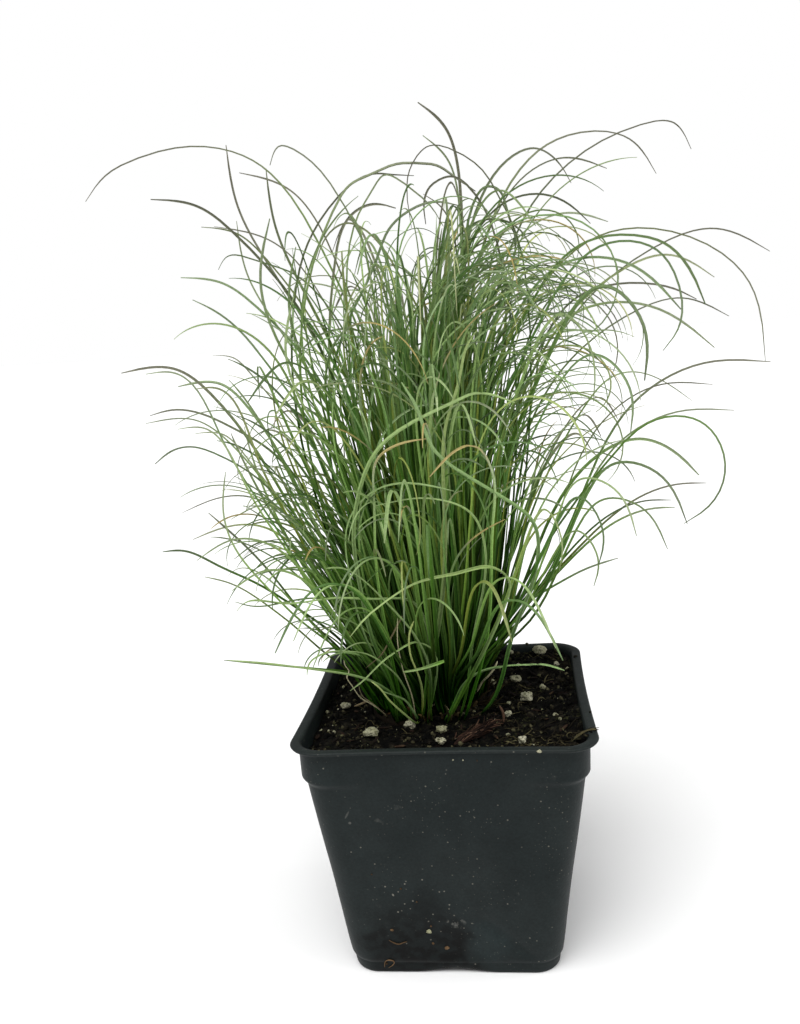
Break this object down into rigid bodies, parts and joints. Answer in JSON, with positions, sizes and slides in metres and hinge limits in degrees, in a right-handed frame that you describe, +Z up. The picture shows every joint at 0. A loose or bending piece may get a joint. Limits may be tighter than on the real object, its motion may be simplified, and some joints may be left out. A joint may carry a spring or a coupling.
{
  "type": "potted curly sedge",
  "caption": "Fountain of thin arching sedge leaves with curled tips, growing from a crown in potting mix, in a tapered square nursery pot with a thin lip and stepped foot.",
  "frame": {"origin": "middle of the pot's base, on the surface that the pot stands on", "axes": "+Z up through the plant; the pot's sides lie along X and Y; the pot's front, as pictured, faces -Y and +X is to its right"},
  "size_m": [0.2413, 0.207, 0.2974],
  "materials": {
    "pot_plastic": "satin charcoal with a slight green cast, dusty",
    "potting_mix": "moist dark fibrous peat and bark",
    "old_sheaths": "dry reddish-brown old leaf sheaths",
    "leaf": "soft satin mid-green blades, grey-green towards curled tips",
    "perlite": "matte cream foamed grains",
    "bark": "matte reddish-brown bark",
    "straw": "dry pale straw"
  },
  "bodies": {
    "root": {"pot": "pot_plastic", "potting_mix": "potting_mix", "crown": "old_sheaths", "shoot_01": "leaf", "shoot_02": "leaf", "shoot_03": "leaf", "shoot_04": "leaf", "shoot_05": "leaf", "shoot_06": "leaf", "shoot_07": "leaf", "shoot_08": "leaf", "shoot_09": "leaf", "shoot_10": "leaf", "shoot_11": "leaf", "shoot_12": "leaf", "shoot_13": "leaf", "shoot_14": "leaf", "shoot_15": "leaf", "shoot_16": "leaf", "shoot_17": "leaf", "shoot_18": "leaf", "shoot_19": "leaf", "shoot_20": "leaf", "shoot_21": "leaf", "shoot_22": "leaf", "shoot_23": "leaf", "shoot_24": "leaf", "shoot_25": "leaf", "shoot_26": "leaf", "shoot_27": "leaf", "shoot_28": "leaf", "shoot_29": "leaf", "shoot_30": "leaf", "shoot_31": "leaf", "shoot_32": "leaf", "perlite_grain_01": "perlite", "perlite_grain_02": "perlite", "perlite_grain_03": "perlite", "perlite_grain_04": "perlite", "perlite_grain_05": "perlite", "perlite_grain_06": "perlite", "perlite_grain_07": "perlite", "perlite_grain_08": "perlite", "perlite_grain_09": "perlite", "perlite_grain_10": "perlite", "perlite_grain_11": "perlite", "perlite_grain_12": "perlite", "bark_splinter": "bark", "pale_straw": "straw", "red_twig": "bark"}
  },
  "joints": []
}
